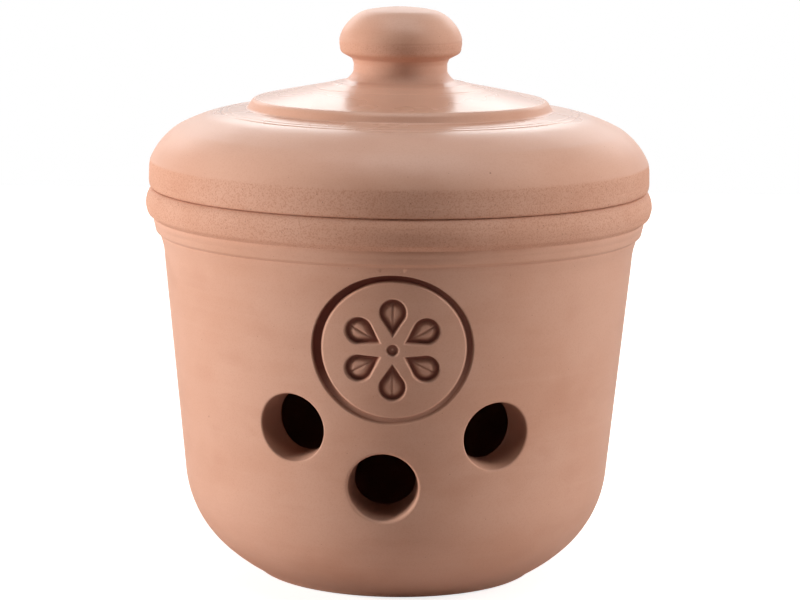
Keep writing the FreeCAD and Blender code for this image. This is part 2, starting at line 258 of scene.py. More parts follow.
def pick_rows(points, spacing):
    """Rows of a section, evenly apart in the running total of length over local spacing."""
    run = np.concatenate([[0], np.cumsum(np.hypot(*np.diff(points, axis=0).T) / spacing[:-1])])
    wanted = np.linspace(0, run[-1], int(np.ceil(run[-1])) + 1)
    return np.stack([np.interp(wanted, run, points[:, axis]) for axis in (0, 1)], 1)


def turned_rows(corners, lines, sponge):
    """Rows of a half section that is traced, softened by `sponge` in millimetres, and scored."""
    points, spacing = trace(corners)
    points = soften(points, sponge * MM)
    return pick_rows(*score(points, spacing, lines))


def turn_about_axis(rows, turns):
    """Points of a section turned about Z, row by row: (r sin turn, -r cos turn, height)."""
    radius, height = rows[:, :1], rows[:, 1:]
    places = np.broadcast_arrays(radius * np.sin(turns), -radius * np.cos(turns), height)
    return np.stack(places, -1)


def in_mm(*sizes):
    """Sizes in metres, as millimetres."""
    return [size / MM for size in sizes]


def smooth_step(value, start=0.0, run=1.0):
    """3v^2 - 2v^3, where v is 0 at start and 1 at start + run, and held at both ends.

    A negative run gives a step that falls as the value rises.
    """
    share = np.clip((value - start) / run, 0, 1)
    return share * share * (3 - 2 * share)


# ---- meshes ----

class Clay:
    """Collects the points and faces of one piece, as arrays."""

    def __init__(self):
        self.points, self.hollow, self.quads, self.triangles = [], [], [], []
        self.count = 0

    def add(self, points, hollow=0.0):
        """Add points, an array whose last axis is x, y, z, and give their numbers in its shape.

        `hollow` is 1 where a tool has cut or stamped deep into the clay and 0 on its turned skin;
        the clay's material paints shade where it is high.
        """
        points = np.asarray(points, float)
        numbers = np.arange(self.count, self.count + points.size // 3).reshape(points.shape[:-1])
        self.points.append(points.reshape(-1, 3))
        self.hollow.append(np.broadcast_to(hollow, numbers.shape).ravel())
        self.count += numbers.size
        return numbers

    def fill(self, corners, flip=False):
        """Add triangles or quads, an array whose last axis is a face's corners."""
        faces = corners.reshape(-1, corners.shape[-1])
        kept = self.quads if faces.shape[1] == 4 else self.triangles
        kept.append(faces[:, ::-1] if flip else faces)

    def turned(self, rows, turns, window=None):
        """Skin a section turned about Z, closed at both poles, less the cells in a window."""
        first = self.add([[0, 0, rows[0, 1]]])
        grid = self.add(turn_about_axis(rows[1:-1], turns))
        last = self.add([[0, 0, rows[-1, 1]]])
        right = np.roll(grid, -1, axis=1)
        cells = np.stack([grid[:-1], right[:-1], right[1:], grid[1:]], -1)
        self.fill(cells if window is None else cells[~window])
        self.fan(grid[0], first, flip=True)
        self.fan(grid[-1], last)
        return grid

    def band(self, outer, inner, flip=False):
        """Quads between two anticlockwise loops of one count, the first outside the second."""
        self.fill(np.stack([outer, np.roll(outer, -1), np.roll(inner, -1), inner], 1), flip)

    def fan(self, loop, middle, flip=False):
        """Triangles from a closed loop to one point inside it."""
        self.fill(np.stack([loop, np.roll(loop, -1), np.full(len(loop), middle[0])], 1), flip)

    def zip_loops(self, outer, outer_bearing, inner, inner_bearing, flip=False):
        """Triangles between two closed loops of unlike counts, the first outside the second.

        Both are taken in order of bearing. Each edge reaches across to the point of the other loop
        whose turn has come when the middle bearings of all the edges are put in order.
        """
        outer, outer_bearing = by_bearing(outer, outer_bearing)
        inner, inner_bearing = by_bearing(inner, inner_bearing)
        outer_middle, inner_middle = edge_bearings(outer_bearing), edge_bearings(inner_bearing)
        reached = np.searchsorted(inner_middle, outer_middle) % len(inner)
        reaching = np.searchsorted(outer_middle, inner_middle) % len(outer)
        self.fill(np.stack([outer, np.roll(outer, -1), inner[reached]], 1), flip)
        self.fill(np.stack([outer[reaching], np.roll(inner, -1), inner], 1), flip)

    def piece(self, name, grainy):
        """The finished object, smooth, with three marks at each of its points.

        grainy is 1 on grainy clay, 0 on plain clay and -1 on burnished clay, and comes from the
        function given. hollow is what `add` was given, and edge is how sharply the skin bends.
        """
        quads, triangles = np.concatenate(self.quads), np.concatenate(self.triangles)
        corners = np.concatenate([quads.ravel(), triangles.ravel()])
        used, corners = np.unique(corners, return_inverse=True)
        points, hollow = np.concatenate(self.points)[used], np.concatenate(self.hollow)[used]
        totals = np.repeat([4, 3], [len(quads), len(triangles)])
        mesh = bpy.data.meshes.new(name)
        mesh.vertices.add(len(points))
        mesh.vertices.foreach_set("co", points.astype(np.float32).ravel())
        mesh.loops.add(len(corners))
        mesh.loops.foreach_set("vertex_index", corners.astype(np.int32))
        mesh.polygons.add(len(totals))
        mesh.polygons.foreach_set("loop_start", (np.cumsum(totals) - totals).astype(np.int32))
        mesh.polygons.foreach_set("loop_total", totals.astype(np.int32))
        mesh.update(calc_edges=True)
        if mesh.validate(verbose=True):
            raise RuntimeError(f"{name} has faulty faces")
        mesh.shade_smooth()
        marks = {"grainy": grainy(points), "hollow": hollow, "edge": bend_of(mesh)}
        for mark, values in marks.items():
            attribute = mesh.attributes.new(mark, "FLOAT", "POINT")
            attribute.data.foreach_set("value", values.astype(np.float32))
        piece = bpy.data.objects.new(name, mesh)
        bpy.context.scene.collection.objects.link(piece)
        return piece


def by_bearing(numbers, bearings):
    """Point numbers and their bearings, in order within one turn."""
    bearings = np.mod(bearings, math.tau)
    order = np.argsort(bearings, kind="stable")
    return numbers[order], bearings[order]


def edge_bearings(bearings):
    """The middle bearing of each edge of a closed loop whose bearings are in order."""
    return (bearings + np.append(bearings[1:], bearings[0] + math.tau)) / 2


def read(collection, name, width, kind):
    """One attribute of every item in a mesh collection, as an array."""
    values = np.empty(len(collection) * width, kind)
    collection.foreach_get(name, values)
    return values.reshape(-1, width)


def bend_of(mesh):
    """How sharply the skin bends at each point: 1 at a 1 mm outer round, negative in a hollow.

    Over a point's edges, it is the sum of how much the normal turns along each, divided by the sum
    of their lengths squared.
    """
    points = read(mesh.vertices, "co", 3, np.float32).astype(float)
    normals = read(mesh.vertices, "normal", 3, np.float32).astype(float)
    start, end = read(mesh.edges, "vertices", 2, np.int32).T
    step = points[end] - points[start]
    ends = np.concatenate([start, end])
    turning = ((normals[end] - normals[start]) * step).sum(1)
    turned = np.bincount(ends, np.tile(turning, 2), len(points))
    run = np.bincount(ends, np.tile((step ** 2).sum(1), 2), len(points))
    return np.clip(turned / run * MM, -1, 1)


# ---- the jar ----

def jar_section(jar):
    """Rows of the jar's half section: out along the base, up, over the rim, down to the floor."""
    top, rim, base, heel = in_mm(jar.height, jar.rim_radius, jar.base_radius, jar.heel_radius)
    wall, floor = in_mm(jar.wall_radius, jar.floor)
    corners = [
        (0, 0, 0, 3.5),
        (base - 3, 0, 0, 0.5),
        (base, 0, 0.3, 0.6),
        (base + 2.3, 1.25, 0.35, 1.2),
        (base + 11.6, 8.0, 2.1, 1.25),
        (heel, WALL_FOOT, 0, 1.3),
        (wall, WALL_TOP, -0.1, 0.5),
        (wall + 0.5, 87.7, 0, 0.3),
        (wall + 1.3, 90.35, 0, 0.2),
        (rim - 2.75, 91.1, 0.06, 0.15),
        (rim - 2.45, 92.7, 0.1, 0.2),
        (rim - 2.1, 94.2, 0, 0.1),
        (rim - 2.2, 94.6, 0, 0.1),
        (rim - 0.75, 95.75, 0.55, 0.3),
        (rim - 0.5, 100.8, 0.15, 0.2),
        (rim - 1.75, top, 0, 0.8),
        (56.0, top, 0.44, 0.4),
        (54.5, top - 1.5, 0, 1.4),
        (48.4, 39.7, -8.8, 1.4),
        (14.6, floor, 0, 2.5),
        (0, floor, 0, 2.5),
    ]
    lines = [
        (wall + 1.3, 90.3, 0.10, 0.35),
        (rim, 96.9, 0.04, 0.3),
        (rim, 100.0, 0.04, 0.3),
    ]
    return turned_rows(corners, lines, sponge=0.15)


class Spot:
    """A place on the jar's straight wall, with the directions across, up and out of the wall."""

    def __init__(self, jar, turn, height):
        slope = math.atan2(jar.wall_radius - jar.heel_radius, (WALL_TOP - WALL_FOOT) * MM)
        radius = jar.heel_radius + (height - WALL_FOOT * MM) * math.tan(slope)
        level = np.array([math.sin(turn), -math.cos(turn), 0])
        upright = np.array([0, 0, 1.0])
        self.across = np.array([math.cos(turn), math.sin(turn), 0])
        self.out = level * math.cos(slope) - upright * math.sin(slope)
        self.up = upright * math.cos(slope) + level * math.sin(slope)
        self.middle = level * radius + upright * height

    def place(self, across, up):
        """Points at distances across and up from the middle."""
        return self.middle + np.multiply.outer(across, self.across) + np.multiply.outer(up, self.up)

    def measure(self, points):
        """Distances across, up and out from the middle."""
        ways = (self.across, self.up, self.out)
        return tuple((points - self.middle) @ way for way in ways)


def side_of(rows, inside):
    """The radius of the jar's inner or outer side as a function of height.

    Only rows higher than all before them are kept, because np.interp needs heights that rise.
    """
    brim = int(np.argmax(rows[:, 1]))
    side = rows[:brim:-1] if inside else rows[:brim]
    rises = np.diff(np.maximum.accumulate(side[:, 1])) > 1e-7
    side = side[np.append(True, rises)]
    return lambda height: np.interp(height, side[:, 1], side[:, 0])


def drop(points, out, side):
    """Slide points along `out` onto one side of the wall, by taking up what is left eight times."""
    for _ in range(8):
        gap = side(points[..., 2]) - np.hypot(points[..., 0], points[..., 1])
        points = points + gap[..., None] * out
    return points


def bearing(points, ring):
    """Each point's direction from the middle of a ring on the wall, round and up the jar."""
    turn, middle = (np.arctan2(places[:, 0], -places[:, 1]) for places in (points, ring))
    around = (turn - middle.mean()) * np.hypot(ring[:, 0], ring[:, 1]).mean()
    return np.arctan2(points[:, 2] - ring[:, 2].mean(), around)


def open_window(hit):
    """The cells of a turned grid that touch a hit point, and the points round their outside."""
    touched = hit[:-1] | hit[1:]
    touched = touched | np.roll(touched, -1, axis=1)
    padded = np.pad(touched, ((1, 1), (0, 0)))
    beside = np.roll(padded, 1, axis=1)
    near = np.stack([padded[:-1], padded[1:], beside[:-1], beside[1:]])
    return touched, near.any(0) & ~near.all(0)


def vent_rings(jar, spot, vent, outside, inside, seed):
    """Closed loops of points over a vent's outer lip, through the wall and over its inner lip.

    A loop has radius R + lip (1 - sin q) and sinks lip (1 - cos q) below the skin, for q from 0 to
    a right angle. The barrel runs straight from there to the like loop inside, whose edge wavers
    by a few sines.
    """
    angle = VENT_ANGLES
    sines = sum(np.sin(k * angle + seed * k * k) / k for k in (3, 5, 8, 13))
    waver = sines * vent.ragged * MM + vent.narrowing * MM
    about_a_wall = -8 * MM  # how far in from the outer skin the inner one is looked for

    def loop(q, lip, side, outwards, start, waver=0):
        reach = jar.vent_radius + lip * (1 - math.sin(q)) - waver
        ring = spot.place(reach * np.cos(angle), reach * np.sin(angle))
        skin = drop(ring + start * spot.out, spot.out, side)
        return skin - outwards * lip * (1 - math.cos(q)) * spot.out

    steps = np.linspace(0, math.pi / 2, 7)
    mouth = [loop(q, vent.lip * MM, outside, 1, 0) for q in steps]
    back = [loop(q, INNER_LIP, inside, -1, about_a_wall, waver) for q in steps[::-2]]
    shares = np.linspace(0, 1, 10)[1:-1]
    barrel = [mouth[-1] + (back[0] - mouth[-1]) * share for share in shares]
    return mouth + barrel + back


def vent_painted_shade(rings):
    """The hollow mark, which paints shade, of each point of a vent's loops: 0 at both lips and up
    to 0.6 between.

    Low in the vent, where light falls on the barrel, it starts further in and is weaker.
    """
    depth = np.linspace(0, 1, len(rings))[:, None]
    low = smooth_step(-np.sin(VENT_ANGLES))
    between = smooth_step(depth - 0.12 - 0.3 * low, 0, 0.3) * smooth_step(depth, 1, -0.1)
    return (0.6 - 0.25 * low) * between


def line_depth(medallion, across, up):
    """How deep the stamp's oval line presses at points across and up from its middle.

    It is a round-lipped trough along k = 1, where k is the distance from the middle in half axes
    of the line. It is widest on the left and shallowest below, and raises a low ridge beside it.
    """
    half_line = medallion.line / 2
    wide, tall = medallion.half_width - half_line, medallion.half_length - half_line
    k = np.hypot(across / wide, up / tall)
    side = np.arctan2(up, across)
    wider = 0.18 * MM * (np.cos(side) ** 2 - np.cos(side))
    away = (k - 1) * np.hypot(across, up) / np.maximum(k, 0.05) + wider
    half_line = half_line + wider
    press = medallion.depth * (1.0 - 0.12 * np.cos(side) - 0.5 * smooth_step(-np.sin(side)))
    lip = half_line + 0.15 * MM - np.abs(away)
    ridge = bell(np.abs(away) - half_line - 0.6 * MM, 0.4 * MM)
    return press * smooth_step(lip, 0, 0.36 * MM) - 0.12 * MM * ridge


def outside_clove(medallion, x, y):
    """Signed distance out of a clove's outline, with x to the side of its tip and y along it.

    The outline is a teardrop: straight flanks from the tip that touch a round end.
    """
    reach = medallion.middle_reach - medallion.tip_reach
    lean = -medallion.clove_radius / reach
    square = math.sqrt(1 - lean * lean)
    flank = x * square + y * lean
    round_end = np.hypot(x, y - reach) - medallion.clove_radius
    tip = np.hypot(x, y)
    past = y * square - x * lean
    return np.where(past < 0, tip, np.where(past > reach * square, round_end, flank))


def stamp_depth(medallion, across, up):
    """How deep the stamp presses at points across and up from its middle.

    To the oval line are added the cloves and the seed. Each clove is a trough inside a teardrop,
    filled by a pillow with a crease along it, and raises a low ridge round it.
    """
    depth = line_depth(medallion, across, up)
    for turn in np.arange(medallion.cloves) * math.tau / medallion.cloves:
        x = np.abs(across * math.cos(turn) - up * math.sin(turn))
        y = across * math.sin(turn) + up * math.cos(turn) - medallion.tip_reach
        outside = outside_clove(medallion, x, y)
        trough = smooth_step(-outside, -0.15 * MM, 0.6 * MM)
        pillow = smooth_step(-outside, 0.75 * MM, 1.5 * MM)
        crease = bell(x, 0.28 * MM) * smooth_step(-outside, 0.9 * MM, 1 * MM)
        clove = trough * (medallion.depth * (0.95 - 0.62 * pillow) + 0.35 * MM * crease)
        ridge = bell(outside - 0.55 * MM, 0.35 * MM)
        depth = np.maximum(depth, clove) - 0.07 * MM * ridge
    inside_seed = medallion.seed_radius + 0.2 * MM - np.hypot(across, up)
    seed = smooth_step(inside_seed, 0, 0.6 * MM)
    return np.maximum(depth, SEED_DEPTH * medallion.depth * seed)


def press_medallion(clay, medallion, spot, outside):
    """Fill the medallion's window with fine oval rings, sunk by the stamp's depth.

    Gives the numbers of the outermost ring's points, and the points.
    """
    rings = []
    for share in RING_SHARES:
        count = next(count for above, count in RING_POINTS if share > above)
        angle = np.linspace(0, math.tau, count, endpoint=False)
        across = share * medallion.half_width * np.cos(angle)
        up = share * medallion.half_length * np.sin(angle)
        skin = drop(spot.place(across, up), spot.out, outside)
        sunk = stamp_depth(medallion, across, up)
        # Painted shade: the hollow mark darkens the stamp's recesses, most where it presses
        # deepest.
        hollow = np.clip(sunk / medallion.depth, 0, 1) ** 1.5
        rings.append((skin - sunk[:, None] * spot.out, angle, hollow))
    middle = drop(spot.middle[None], spot.out, outside) - SEED_DEPTH * medallion.depth * spot.out
    numbers = [(clay.add(points, hollow), angle) for points, angle, hollow in rings]
    for (outer, outer_angle), (inner, inner_angle) in zip(numbers[:-1], numbers[1:]):
        if len(outer) == len(inner):
            clay.band(outer, inner)
        else:
            clay.zip_loops(outer, outer_angle, inner, inner_angle)
    clay.fan(numbers[-1][0], clay.add(middle))
    return numbers[0][0], rings[0][0]


def build_jar(jar, medallion):
    """The jar as one closed skin: a turned grid with windows that vents and medallion fill."""
    rows = jar_section(jar)
    outside, inside = side_of(rows, False), side_of(rows, True)
    front, rest = np.arange(-40, 40, 1.25), np.linspace(40, 320, 101)[:-1]
    turns = np.concatenate([front, rest]) * DEGREE
    grid_points = turn_about_axis(rows[1:-1], turns)
    outer_rows = (np.arange(1, len(rows) - 1) < np.argmax(rows[:, 1]))[:, None]
    clay = Clay()
    windows = np.zeros((len(rows) - 3, len(turns)), bool)
    loops = []

    def open_for(hit, ring, ring_points, flip):
        """Open a window for a ring of points that is in place, to be zipped up later."""
        touched, edge = open_window(hit)
        windows[touched] = True
        loops.append((edge, ring, ring_points, flip))

    plate = Spot(jar, medallion.turn, medallion.height)
    across, up, out = plate.measure(grid_points)
    ring, ring_points = press_medallion(clay, medallion, plate, outside)
    share = np.hypot(across / medallion.half_width, up / medallion.half_length)
    hit = (share < MEDALLION_WINDOW) & outer_rows & (out > NEAR_SIDE)
    open_for(hit, ring, ring_points, False)
    for seed, vent in enumerate(VENTS, 1):
        spot = Spot(jar, vent.turn * DEGREE, vent.height * MM)
        across, up, out = spot.measure(grid_points)
        rings = vent_rings(jar, spot, vent, outside, inside, seed)
        numbers = [clay.add(points, hollow) for points, hollow in zip(rings, vent_painted_shade(rings))]
        for outer, inner in zip(numbers[:-1], numbers[1:]):
            clay.band(outer, inner)
        past = np.hypot(across, up) - jar.vent_radius
        near = out > NEAR_SIDE
        outer_hit = (past < (vent.lip + VENT_MARGIN) * MM) & outer_rows & near
        inner_hit = (past < INNER_WINDOW) & ~outer_rows & near
        open_for(outer_hit, numbers[0], rings[0], False)
        open_for(inner_hit, numbers[-1], rings[-1], True)
    grid = clay.turned(rows, turns, windows)
    for edge, ring, ring_points, flip in loops:
        bearings = bearing(grid_points[edge], ring_points), bearing(ring_points, ring_points)
        clay.zip_loops(grid[edge], bearings[0], ring, bearings[1], flip)

    def grainy(points):
        """1 on the rim bead's outside, fading into the collar under it."""
        height, radius = points[:, 2] / MM, np.hypot(points[:, 0], points[:, 1]) / MM
        return smooth_step(height, 94.0, 1.2) * smooth_step(radius, 56.5, 1.5)

    return clay.piece("terracotta_pot", grainy)


# ---- the lid ----

def lid_section(lid, jar):
    """Rows of the lid's half section: under the dome, round the flange, out, up to the knob."""
    seat = jar.height / MM + SEAT_GAP
    top, rim, disc = in_mm(lid.top, lid.radius, lid.disc_radius)
    neck, knob = in_mm(lid.neck_radius, lid.knob_radius)
    band = seat + lid.band / MM
    corners = [
        (0, 118.7, -0.5, 2.5),
        (24.0, 116.7, -3.0, 1.8),
        (46.55, 109.3, 0, 1.6),
        (46.55, 97.0, 0.44, 0.4),
        (48.05, 95.5, 0, 1.2),
        (51.55, 95.5, 0.44, 0.4),
        (53.05, 97.0, 0, 1.2),
        (53.05, seat, 0, 1.5),
        (rim - 1.25, seat, 0.12, 0.2),
        (rim - 0.2, seat + 0.6, 0.08, 0.4),
        (rim - 0.01, seat + 2.9, 0, 0.5),
        (rim - 0.08, seat + 5.6, 0, 0.4),
        (rim - 0.3, band - 0.05, 0.78, 0.5),
        (58.95, 118.0, 0.45, 0.5),
        (47.35, 122.27, 0.05, 0.4),
        (disc + 1.3, 123.35, 0, 0.18),
        (disc + 0.5, 124.75, 0.25, 0.15),
        (disc - 1.1, 125.95, 0.06, 0.4),
        (22.3, 129.0, 0, 0.3),
        (17.0, 130.15, 0, 0.2),
        (14.3, 130.8, -0.2, 0.2),
        (neck + 0.05, 133.1, 0, 0.3),
        (neck, 135.2, 0, 0.3),
        (neck + 0.5, 136.5, 0, 0.2),
        (15.3, 137.85, 0.2, 0.2),
        (knob - 0.25, 139.3, 0.05, 0.25),
        (knob - 0.06, 141.0, 0, 0.1),
        (knob, 141.2, 0.42, 0.35),
        (13.8, 146.0, 0.38, 0.35),
        (9.35, 149.0, 0.25, 0.5),
        (0, top, 0, 0.6),
    ]
    lines = [
        (rim, seat + 2.9, 0.03, 0.25),
        (47.1, 122.3, 0.18, 0.22),
        (45.3, 122.6, 0.11, 0.2),
        (23.9, 128.65, 0.04, 0.3),
        (22.3, 129.0, 0.08, 0.25),
        (17.3, 130.1, -0.10, 0.6),
        (knob, 141.1, 0.06, 0.25),
    ]
    return turned_rows(corners, lines, sponge=0.18)


def build_lid(lid, jar):
    """The lid as one closed turned skin."""
    rows = lid_section(lid, jar)
    clay = Clay()
    clay.turned(rows, np.linspace(0, math.tau, 224, endpoint=False))

    def grainy(points):
        """1 on the upright edge band, 0.5 low on the knob, and -1 on the disc and the ledge.

        The upright step between disc and ledge is left plain.
        """
        height, radius = points[:, 2] / MM, np.hypot(points[:, 0], points[:, 1]) / MM
        below = smooth_step(height, (jar.height + lid.band) / MM + 0.2, -0.5)
        knob = smooth_step(height, 137.0, 0.8) * smooth_step(height, 141.3, -0.4)
        burnished = smooth_step(height, 120.5, 2.0) * smooth_step(height, 131.5, -1.0)
        upright = smooth_step(height, 123.2, 0.3) * smooth_step(height, 126.0, -0.4)
        return below * smooth_step(radius, 63.0, 1.5) + 0.5 * knob - burnished * (1 - upright)

    return clay.piece("terracotta_dome", grainy)


# ---- materials ----

class Nodes:
    """Adds nodes to a tree, and sets or links what they are given."""

    def __init__(self, tree):
        self.tree = tree
        tree.nodes.clear()

    def add(self, kind, inputs=None, **settings):
        """A new node. Each input is linked if it is a socket, and set if it is a value."""
        node = self.tree.nodes.new(kind)
        for name, value in settings.items():
            setattr(node, name, value)
        for name, value in (inputs or {}).items():
            if isinstance(value, bpy.types.NodeSocket):
                self.tree.links.new(value, node.inputs[name])
            else:
                node.inputs[name].default_value = value
        return node

    def maths(self, operation, *values):
        """The outcome of one operation on values."""
        return self.add("ShaderNodeMath", dict(enumerate(values)), operation=operation).outputs[0]

    def ramp(self, value, low, high, to_low=0.0, to_high=1.0):
        """A value carried smoothly from one range to another, and held at its ends."""
        ends = {"From Min": low, "From Max": high, "To Min": to_low, "To Max": to_high}
        inputs = {"Value": value, **ends}
        node = self.add("ShaderNodeMapRange", inputs, interpolation_type="SMOOTHSTEP")
        return node.outputs["Result"]

    def mix(self, share, first, second):
        """A blend of two colours."""
        inputs = {0: share, 6: first, 7: second}
        return self.add("ShaderNodeMix", inputs, data_type="RGBA").outputs[2]

    def stretch(self, vector, across, up):
        """A place scaled per metre, alike across and otherwise up."""
        scaled = {0: vector, 1: (across, across, up)}
        return self.add("ShaderNodeVectorMath", scaled, operation="MULTIPLY").outputs[0]

    def spots(self, place, per_metre, rarity, size):
        """Round spots, 1 inside, in the share of cells above `rarity`.

        Their radius is at most `size` of a cell.
        """
        inputs = {"Vector": self.stretch(place, per_metre, per_metre), "Scale": 1.0}
        cells = self.add("ShaderNodeTexVoronoi", inputs)
        chance = self.add("ShaderNodeSeparateColor", {0: cells.outputs["Color"]}).outputs[0]
        inputs = {"Value": chance, "From Min": rarity, "From Max": 1.0}
        share = self.add("ShaderNodeMapRange", inputs).outputs["Result"]
        radius = self.maths("MULTIPLY", share, size)
        inside = self.maths("SUBTRACT", radius, cells.outputs["Distance"])
        return self.ramp(self.maths("DIVIDE", inside, size), 0.0, 0.35)

    def noise(self, vector, detail=2.0, roughness=0.5):
        """A smooth random value of about 0 to 1, with cells one unit across."""
        inputs = {"Vector": vector, "Scale": 1.0, "Detail": detail, "Roughness": roughness}
        return self.add("ShaderNodeTexNoise", inputs).outputs["Fac"]


def make_clay_group():
    """The node group that gives fired, turned clay its colour, roughness and height.

    Grainy is 1 on grainy clay, 0 on plain clay and -1 on burnished clay. Hollow is 1 deep in a
    cut, where shade is painted. Edge is 1 on a sharp edge, worn paler, and negative in a sharp
    hollow, where shade is painted. Height is in millimetres.
    """
    group = bpy.data.node_groups.new("turned clay", "ShaderNodeTree")
    for name in ("Clay", "Pale", "Deep"):
        group.interface.new_socket(name, in_out="INPUT", socket_type="NodeSocketColor")
    group.interface.new_socket("Place", in_out="INPUT", socket_type="NodeSocketVector")
    for name in ("Grainy", "Hollow", "Edge", "Dullness"):
        group.interface.new_socket(name, in_out="INPUT", socket_type="NodeSocketFloat")
    group.interface.new_socket("Colour", in_out="OUTPUT", socket_type="NodeSocketColor")
    for name in ("Roughness", "Height"):
        group.interface.new_socket(name, in_out="OUTPUT", socket_type="NodeSocketFloat")
    nodes = Nodes(group)
    given = nodes.add("NodeGroupInput").outputs
    place, grainy = given["Place"], given["Grainy"]

    # Patterns, each with its cells to the metre across and up.
    blotch = nodes.noise(nodes.stretch(place, 30, 36), 3.0, 0.55)
    smear = nodes.noise(nodes.stretch(place, 60, 110), 2.0, 0.5)
    wave = nodes.noise(nodes.stretch(place, 6, 90), 1.0)
    turning = nodes.noise(nodes.stretch(place, 10, 480), 3.0, 0.6)
    grain = nodes.noise(nodes.stretch(place, 2400, 2400), 2.0, 0.6)
    sand = nodes.noise(nodes.stretch(place, 3200, 3200), 1.0, 0.5)
    pit_rarity = nodes.ramp(grainy, 0, 1, 0.96, 0.72)
    pit_size = nodes.ramp(grainy, 0, 1, 0.20, 0.27)
    pits = nodes.spots(place, 1400, pit_rarity, pit_size)
    pinholes = nodes.spots(place, 210, 0.90, 0.062)

    # Colour: rubbed, smoked, marked by turning, flecked, with painted shade in pits, creases and
    # cuts, and worn paler at edges.
    paint = nodes.mix(nodes.ramp(blotch, 0.35, 0.68, 0.0, 0.35), given["Clay"], given["Pale"])
    paint = nodes.mix(nodes.ramp(smear, 0.50, 0.75, 0.0, 0.16), paint, given["Deep"])
    unburnished = nodes.ramp(grainy, -1, 0, 0.0, 1.0)
    marks = nodes.maths("MULTIPLY", nodes.ramp(turning, 0.45, 0.8, 0.0, 0.12), unburnished)
    paint = nodes.mix(marks, paint, given["Pale"])
    flecked = nodes.ramp(grainy, 0, 1, 0.25, 1.0)
    fleck = nodes.maths("MULTIPLY", nodes.ramp(grain, 0.44, 0.70, 0.0, 0.60), flecked)
    paint = nodes.mix(fleck, paint, given["Deep"])
    # Painted shade in pits and pinholes: they are mixed towards this dark colour.
    pit_shade = nodes.mix(0.7, given["Deep"], PIT_SHADE_COLOUR)
    holes = nodes.maths("MAXIMUM", pits, pinholes)
    paint = nodes.mix(nodes.maths("MULTIPLY", holes, 0.6), paint, pit_shade)
    paint = nodes.mix(nodes.ramp(given["Edge"], 0.2, 0.9, 0.0, 0.22), paint, given["Pale"])
    # Painted shade in sharp creases, where the edge mark is negative.
    paint = nodes.mix(nodes.ramp(given["Edge"], -0.2, -0.9, 0.0, 0.2), paint, given["Deep"])
    # Painted shade deep in the vents and the stamp, where the hollow mark is high.
    paint = nodes.mix(nodes.maths("MULTIPLY", given["Hollow"], 0.97), paint, PAINTED_SHADE_COLOUR)

    # Roughness: more in cuts and on grainy clay, less on burnished clay.
    roughness = nodes.maths("ADD", given["Dullness"], nodes.ramp(blotch, 0.3, 0.7, -0.03, 0.04))
    roughness = nodes.maths("ADD", roughness, nodes.maths("MULTIPLY", given["Hollow"], 0.4))
    roughness = nodes.maths("ADD", roughness, nodes.ramp(grainy, 0, 1, 0.0, 0.25))
    roughness = nodes.maths("ADD", roughness, nodes.ramp(grainy, -1, 0, -0.15, 0.0))

    # Height in millimetres: each layer's depth on plain clay, then on grainy clay.
    height = nodes.maths("MULTIPLY", wave, 0.03)
    layers = ((turning, 0.006, 0.012), (grain, 0.008, 0.035), (sand, 0.003, 0.010))
    for layer, smooth, rough in layers:
        depth = nodes.maths("MULTIPLY", layer, nodes.ramp(grainy, 0, 1, smooth, rough))
        height = nodes.maths("ADD", height, depth)
    pit_depth = nodes.maths("MULTIPLY", pits, nodes.ramp(grainy, 0, 1, 0.03, 0.07))
    height = nodes.maths("SUBTRACT", height, pit_depth)
    height = nodes.maths("SUBTRACT", height, nodes.maths("MULTIPLY", pinholes, 0.12))
    height = nodes.maths("MULTIPLY", height, nodes.ramp(grainy, -1, 0, 0.15, 1.0))
    nodes.add("NodeGroupOutput", {"Colour": paint, "Roughness": roughness, "Height": height})
    return group


def make_clay(name, look, shift, dullness):
    """A fired clay material. `shift` moves its pattern, so that no two pieces have the same."""
    group = bpy.data.node_groups.get("turned clay") or make_clay_group()
    material = bpy.data.materials.new(name)
    material.use_nodes = True
    nodes = Nodes(material.node_tree)
    place = nodes.add("ShaderNodeTexCoord").outputs["Object"]
    place = nodes.add("ShaderNodeMapping", {"Vector": place, "Location": shift}).outputs["Vector"]
    skin = nodes.add("ShaderNodeGroup", node_tree=group)
    for socket, paint in (("Clay", look.clay), ("Pale", look.pale), ("Deep", look.deep)):
        skin.inputs[socket].default_value = (*paint, 1.0)
    skin.inputs["Dullness"].default_value = dullness
    links = material.node_tree.links
    links.new(place, skin.inputs["Place"])
    for mark, socket in (("grainy", "Grainy"), ("hollow", "Hollow"), ("edge", "Edge")):
        attribute = nodes.add("ShaderNodeAttribute", attribute_name=mark)
        links.new(attribute.outputs["Fac"], skin.inputs[socket])
    inputs = {"Height": skin.outputs["Height"], "Distance": MM, "Strength": 1.0}
    relief = nodes.add("ShaderNodeBump", inputs)
    shader = nodes.add("ShaderNodeBsdfPrincipled", {
        "Base Color": skin.outputs["Colour"],
        "Roughness": skin.outputs["Roughness"],
        "Normal": relief.outputs["Normal"],
        "IOR": 1.5,
        "Specular IOR Level": 0.5,
    })
    nodes.add("ShaderNodeOutputMaterial", {"Surface": shader.outputs["BSDF"]})
    return material


# ---- the studio ----

